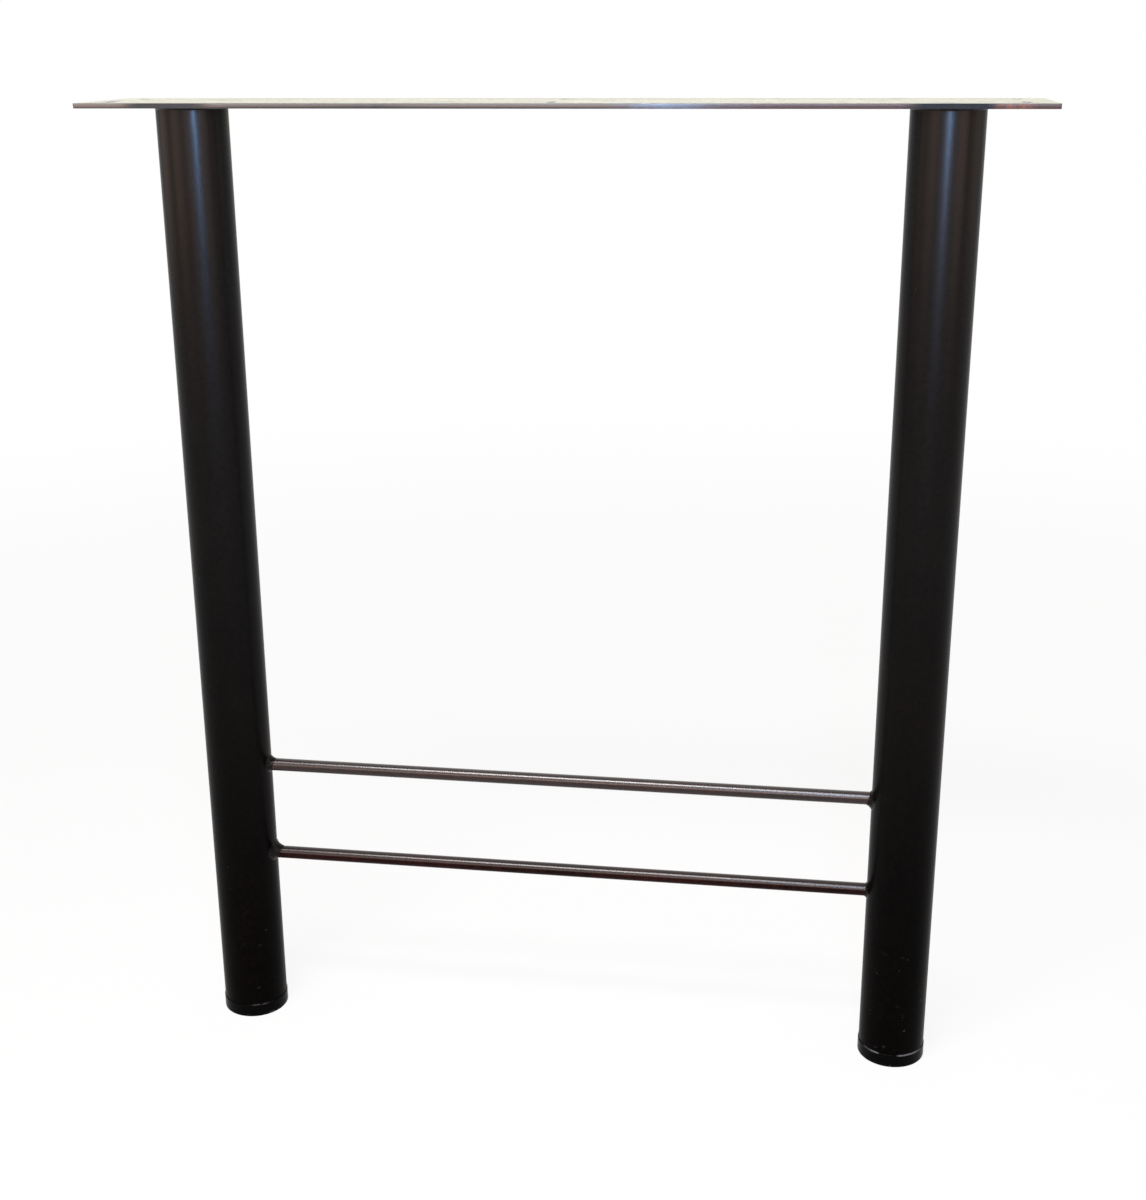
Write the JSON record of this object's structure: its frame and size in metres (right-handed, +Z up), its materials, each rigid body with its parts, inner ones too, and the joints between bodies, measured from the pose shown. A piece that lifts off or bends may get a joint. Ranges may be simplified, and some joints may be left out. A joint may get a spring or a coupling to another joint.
{
  "type": "h-shaped table base",
  "caption": "Welded steel table base: round tube legs under a flat screw-down plate, tied near the floor by slim round rods, on moulded foot glides.",
  "frame": {"origin": "on the floor, midway between the legs, under the middle of the plate", "axes": "+Z up the legs, +X along the plate from the left leg to the right leg as the picture shows them, +Y away from the picture's camera"},
  "size_m": [0.66, 0.1, 0.7284],
  "materials": {
    "black_paint": "satin black powder coat",
    "black_plastic": "black moulded plastic, worn at the lower edge"
  },
  "bodies": {
    "root": {"top_plate": "black_paint", "left_leg_tube": "black_paint", "right_leg_tube": "black_paint", "upper_rod": "black_paint", "lower_rod": "black_paint", "left_foot_glide": "black_plastic", "right_foot_glide": "black_plastic", "upper_left_rod_weld": "black_paint", "lower_left_rod_weld": "black_paint", "upper_right_rod_weld": "black_paint", "lower_right_rod_weld": "black_paint", "left_plate_weld": "black_paint", "right_plate_weld": "black_paint"}
  },
  "joints": []
}
